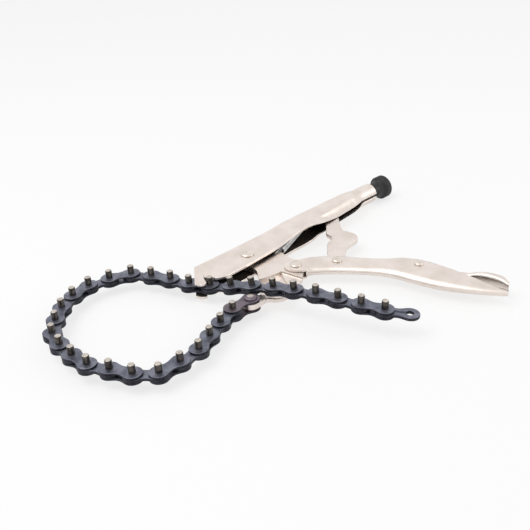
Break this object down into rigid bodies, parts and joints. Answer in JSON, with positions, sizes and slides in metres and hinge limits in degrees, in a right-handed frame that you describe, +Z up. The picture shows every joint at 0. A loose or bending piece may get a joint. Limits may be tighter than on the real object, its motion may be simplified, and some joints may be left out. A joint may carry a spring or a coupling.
{
  "type": "locking chain clamp",
  "caption": "Locking chain clamp: toggle pliers with a pressed-steel body and handle, a hooked leaf chain, a release lever and an adjusting knob.",
  "frame": {"origin": "bottom centre of the box round the whole clamp as it lies on its side, chain hooked", "axes": "+X runs back along the fixed body to the adjusting knob and is the longest extent; +Y points to the closed web of the body; +Z is up, along every pivot, and is the shortest extent"},
  "size_m": [0.3318, 0.232, 0.0268],
  "materials": {
    "nickel_plated_steel": "satin nickel plate, fine brush marks",
    "blued_steel": "blued chain plates with a slight sheen",
    "spring_steel": "bright wire",
    "black_knurl": "blackened knurled knob"
  },
  "bodies": {
    "body": {"body_shell": "nickel_plated_steel", "threaded_bush": "spring_steel", "main_pivot_rivet": "nickel_plated_steel", "spring_post": "nickel_plated_steel", "return_spring": "spring_steel"},
    "jaw": {"jaw": "nickel_plated_steel", "anchor_rivet": "nickel_plated_steel"},
    "handle": {"handle": "nickel_plated_steel", "handle_pivot_rivet": "nickel_plated_steel", "toggle_pivot_rivet": "nickel_plated_steel", "lever_pivot_rivet": "nickel_plated_steel"},
    "toggle_link": {"toggle_link": "nickel_plated_steel"},
    "release_lever": {"release_lever": "nickel_plated_steel"},
    "adjusting_screw": {"adjusting_screw": "nickel_plated_steel"},
    "adjusting_knob": {"adjusting_knob": "black_knurl"},
    "anchor_plates": {"anchor_plate_upper": "blued_steel", "anchor_plate_lower": "blued_steel"},
    "outer_link_01": {"outer_link_01": "blued_steel"},
    "inner_link_02": {"inner_link_02": "blued_steel"},
    "outer_link_03": {"outer_link_03": "blued_steel"},
    "inner_link_04": {"inner_link_04": "blued_steel"},
    "outer_link_05": {"outer_link_05": "blued_steel"},
    "inner_link_06": {"inner_link_06": "blued_steel"},
    "outer_link_07": {"outer_link_07": "blued_steel"},
    "inner_link_08": {"inner_link_08": "blued_steel"},
    "outer_link_09": {"outer_link_09": "blued_steel"},
    "inner_link_10": {"inner_link_10": "blued_steel"},
    "outer_link_11": {"outer_link_11": "blued_steel"},
    "inner_link_12": {"inner_link_12": "blued_steel"},
    "outer_link_13": {"outer_link_13": "blued_steel"},
    "inner_link_14": {"inner_link_14": "blued_steel"},
    "outer_link_15": {"outer_link_15": "blued_steel"},
    "inner_link_16": {"inner_link_16": "blued_steel"},
    "outer_link_17": {"outer_link_17": "blued_steel"},
    "inner_link_18": {"inner_link_18": "blued_steel"},
    "outer_link_19": {"outer_link_19": "blued_steel"},
    "inner_link_20": {"inner_link_20": "blued_steel"},
    "outer_link_21": {"outer_link_21": "blued_steel"},
    "inner_link_22": {"inner_link_22": "blued_steel"},
    "outer_link_23": {"outer_link_23": "blued_steel"},
    "inner_link_24": {"inner_link_24": "blued_steel"},
    "outer_link_25": {"outer_link_25": "blued_steel"},
    "inner_link_26": {"inner_link_26": "blued_steel"},
    "outer_link_27": {"outer_link_27": "blued_steel"},
    "inner_link_28": {"inner_link_28": "blued_steel"},
    "outer_link_29": {"outer_link_29": "blued_steel"},
    "end_link": {"end_link": "blued_steel"}
  },
  "joints": [
    {"name": "handle_pivot", "type": "hinge", "parent": "jaw", "child": "handle", "pos_m": [0.01039, 0.01577, 0.0097], "axis": [0, 0, 1], "range_deg": [0, 46.5]},
    {"name": "jaw_pivot", "type": "hinge", "parent": "body", "child": "jaw", "pos_m": [-0.00441, 0.05077, 0.0097], "axis": [0, 0, 1], "range_deg": [-22.05, 0.01], "deforming": ["return_spring"]},
    {"name": "toggle_pivot", "type": "hinge", "parent": "handle", "child": "toggle_link", "pos_m": [0.03416, -0.00234, 0.0097], "axis": [0, 0, 1], "range_deg": [-32.09, 0.01]},
    {"name": "release_pivot", "type": "hinge", "parent": "handle", "child": "release_lever", "pos_m": [0.06628, -0.05062, 0.0097], "axis": [0, 0, 1], "range_deg": [-5, 0]},
    {"name": "screw_slide", "type": "slide", "parent": "body", "child": "adjusting_screw", "axis": [1, 0, 0], "range_m": [0, 0.01]},
    {"name": "knob_turn", "type": "hinge", "parent": "adjusting_screw", "child": "adjusting_knob", "pos_m": [0.14659, 0.06147, 0.0097], "axis": [1, 0, 0], "range_deg": [-4, 2885]},
    {"name": "chain_anchor", "type": "hinge", "parent": "jaw", "child": "anchor_plates", "pos_m": [-0.04301, 0.00597, 0.0097], "axis": [0, 0, 1], "range_deg": [-0.01, 3.44]},
    {"name": "chain_pin_01", "type": "hinge", "parent": "anchor_plates", "child": "outer_link_01", "pos_m": [-0.05888, 0.00639, 0.0097], "axis": [0, 0, 1], "range_deg": [-0.01, 3.29]},
    {"name": "chain_pin_02", "type": "hinge", "parent": "outer_link_01", "child": "inner_link_02", "pos_m": [-0.07394, 0.00136, 0.0097], "axis": [0, 0, 1], "range_deg": [-0.01, 4.33]},
    {"name": "chain_pin_03", "type": "hinge", "parent": "inner_link_02", "child": "outer_link_03", "pos_m": [-0.0885, -0.00496, 0.0097], "axis": [0, 0, 1], "range_deg": [-0.01, 5.67]},
    {"name": "chain_pin_04", "type": "hinge", "parent": "outer_link_03", "child": "inner_link_04", "pos_m": [-0.10295, -0.01153, 0.0097], "axis": [0, 0, 1], "range_deg": [-0.01, 5.24]},
    {"name": "chain_pin_05", "type": "hinge", "parent": "inner_link_04", "child": "outer_link_05", "pos_m": [-0.11876, -0.01304, 0.0097], "axis": [0, 0, 1], "range_deg": [-0.01, 1.36]},
    {"name": "chain_pin_06", "type": "hinge", "parent": "outer_link_05", "child": "inner_link_06", "pos_m": [-0.13463, -0.01263, 0.0097], "axis": [0, 0, 1], "range_deg": [-3.56, 0.01]},
    {"name": "chain_pin_07", "type": "hinge", "parent": "inner_link_06", "child": "outer_link_07", "pos_m": [-0.14581, -0.00137, 0.0097], "axis": [0, 0, 1], "range_deg": [-3.86, 0.01]},
    {"name": "chain_pin_08", "type": "hinge", "parent": "outer_link_07", "child": "inner_link_08", "pos_m": [-0.15227, 0.01314, 0.0097], "axis": [0, 0, 1], "range_deg": [-3.25, 0.01]},
    {"name": "chain_pin_09", "type": "hinge", "parent": "inner_link_08", "child": "outer_link_09", "pos_m": [-0.15873, 0.02764, 0.0097], "axis": [0, 0, 1], "range_deg": [-2.79, 0.01]},
    {"name": "chain_pin_10", "type": "hinge", "parent": "outer_link_09", "child": "inner_link_10", "pos_m": [-0.15962, 0.04349, 0.0097], "axis": [0, 0, 1], "range_deg": [-3.03, 0.01]},
    {"name": "hooked_pin_22", "type": "hinge", "parent": "body", "child": "outer_link_21", "pos_m": [-0.04761, 0.04247, 0.01023], "axis": [-0.0189, 0.0354, 0.9992], "range_deg": [-0.01, 0.09]},
    {"name": "chain_pin_21", "type": "hinge", "parent": "outer_link_21", "child": "inner_link_20", "pos_m": [-0.05506, 0.05647, 0.00959], "axis": [0, 0, 1], "range_deg": [-9.97, 0.01]},
    {"name": "chain_pin_20", "type": "hinge", "parent": "inner_link_20", "child": "outer_link_19", "pos_m": [-0.05995, 0.07158, 0.0097], "axis": [0, 0, 1], "range_deg": [-0.309, 0.01]},
    {"name": "chain_pin_19", "type": "hinge", "parent": "outer_link_19", "child": "inner_link_18", "pos_m": [-0.06589, 0.0863, 0.0097], "axis": [0, 0, 1], "range_deg": [-0.673, 0.01]},
    {"name": "chain_pin_18", "type": "hinge", "parent": "inner_link_18", "child": "outer_link_17", "pos_m": [-0.07384, 0.10004, 0.0097], "axis": [0, 0, 1], "range_deg": [-1.18, 0.01]},
    {"name": "chain_pin_17", "type": "hinge", "parent": "outer_link_17", "child": "inner_link_16", "pos_m": [-0.08838, 0.10641, 0.0097], "axis": [0, 0, 1], "range_deg": [-2.33, 0.01]},
    {"name": "chain_pin_16", "type": "hinge", "parent": "inner_link_16", "child": "outer_link_15", "pos_m": [-0.10393, 0.10959, 0.0097], "axis": [0, 0, 1], "range_deg": [-3.41, 0.01]},
    {"name": "chain_pin_15", "type": "hinge", "parent": "outer_link_15", "child": "inner_link_14", "pos_m": [-0.11937, 0.10587, 0.0097], "axis": [0, 0, 1], "range_deg": [-3.64, 0.01]},
    {"name": "chain_pin_14", "type": "hinge", "parent": "inner_link_14", "child": "outer_link_13", "pos_m": [-0.13318, 0.09804, 0.0097], "axis": [0, 0, 1], "range_deg": [-1.84, 0.01]},
    {"name": "chain_pin_13", "type": "hinge", "parent": "outer_link_13", "child": "inner_link_12", "pos_m": [-0.14469, 0.08711, 0.0097], "axis": [0, 0, 1], "range_deg": [-0.01, 1.28]},
    {"name": "chain_pin_12", "type": "hinge", "parent": "inner_link_12", "child": "outer_link_11", "pos_m": [-0.15457, 0.07469, 0.0097], "axis": [0, 0, 1], "range_deg": [-0.01, 3.31]},
    {"name": "tail_pin_22", "type": "hinge", "parent": "body", "child": "inner_link_22", "pos_m": [-0.04761, 0.04247, 0.01023], "axis": [-0.0189, 0.0354, 0.9992], "range_deg": [0, 2]},
    {"name": "tail_pin_23", "type": "hinge", "parent": "inner_link_22", "child": "outer_link_23", "pos_m": [-0.0399, 0.02867, 0.01169], "axis": [-0.0619, 0.1285, 0.9898], "range_deg": [0, 2]},
    {"name": "tail_pin_24", "type": "hinge", "parent": "outer_link_23", "child": "inner_link_24", "pos_m": [-0.03308, 0.01452, 0.01396], "axis": [-0.0619, 0.1285, 0.9898], "range_deg": [-6, 2]},
    {"name": "tail_pin_25", "type": "hinge", "parent": "inner_link_24", "child": "outer_link_25", "pos_m": [-0.02727, -0.00011, 0.01603], "axis": [-0.0269, 0.0829, 0.9962], "range_deg": [-12, 3]},
    {"name": "tail_pin_26", "type": "hinge", "parent": "outer_link_25", "child": "inner_link_26", "pos_m": [-0.02238, -0.01515, 0.01741], "axis": [-0.0269, 0.0829, 0.9962], "range_deg": [-15, 4]},
    {"name": "tail_pin_27", "type": "hinge", "parent": "inner_link_26", "child": "outer_link_27", "pos_m": [-0.01774, -0.03032, 0.0181], "axis": [-0.0016, 0.005, 1], "range_deg": [-18, 5]},
    {"name": "tail_pin_28", "type": "hinge", "parent": "outer_link_27", "child": "inner_link_28", "pos_m": [-0.01297, -0.04546, 0.01819], "axis": [-0.0016, 0.005, 1], "range_deg": [-20, 6]},
    {"name": "tail_pin_29", "type": "hinge", "parent": "inner_link_28", "child": "outer_link_29", "pos_m": [-0.00796, -0.06051, 0.01769], "axis": [0.0188, -0.0489, 0.9986], "range_deg": [-24, 8]},
    {"name": "tail_pin_30", "type": "hinge", "parent": "outer_link_29", "child": "end_link", "pos_m": [-0.00228, -0.07531, 0.01686], "axis": [0.0188, -0.0489, 0.9986], "range_deg": [-30, 15]}
  ],
  "couplings": [
    {"joint": "jaw_pivot", "follows": "handle_pivot", "ratio": -0.474},
    {"joint": "toggle_pivot", "follows": "handle_pivot", "ratio": -0.69},
    {"joint": "knob_turn", "follows": "screw_slide", "rad_per_m": 5027.6},
    {"joint": "chain_anchor", "follows": "handle_pivot", "ratio": 0.07374},
    {"joint": "chain_pin_01", "follows": "handle_pivot", "ratio": 0.07065},
    {"joint": "chain_pin_02", "follows": "handle_pivot", "ratio": 0.09283},
    {"joint": "chain_pin_03", "follows": "handle_pivot", "ratio": 0.12172},
    {"joint": "chain_pin_04", "follows": "handle_pivot", "ratio": 0.11237},
    {"joint": "chain_pin_05", "follows": "handle_pivot", "ratio": 0.029},
    {"joint": "chain_pin_06", "follows": "handle_pivot", "ratio": -0.07624},
    {"joint": "chain_pin_07", "follows": "handle_pivot", "ratio": -0.08272},
    {"joint": "chain_pin_08", "follows": "handle_pivot", "ratio": -0.06965},
    {"joint": "chain_pin_09", "follows": "handle_pivot", "ratio": -0.05984},
    {"joint": "chain_pin_10", "follows": "handle_pivot", "ratio": -0.06495},
    {"joint": "hooked_pin_22", "follows": "handle_pivot", "ratio": 0.00172},
    {"joint": "chain_pin_21", "follows": "handle_pivot", "ratio": -0.21428},
    {"joint": "chain_pin_20", "follows": "handle_pivot", "ratio": -0.00643},
    {"joint": "chain_pin_19", "follows": "handle_pivot", "ratio": -0.01426},
    {"joint": "chain_pin_18", "follows": "handle_pivot", "ratio": -0.02505},
    {"joint": "chain_pin_17", "follows": "handle_pivot", "ratio": -0.04985},
    {"joint": "chain_pin_16", "follows": "handle_pivot", "ratio": -0.07314},
    {"joint": "chain_pin_15", "follows": "handle_pivot", "ratio": -0.07816},
    {"joint": "chain_pin_14", "follows": "handle_pivot", "ratio": -0.03945},
    {"joint": "chain_pin_13", "follows": "handle_pivot", "ratio": 0.02735},
    {"joint": "chain_pin_12", "follows": "handle_pivot", "ratio": 0.07087}
  ]
}
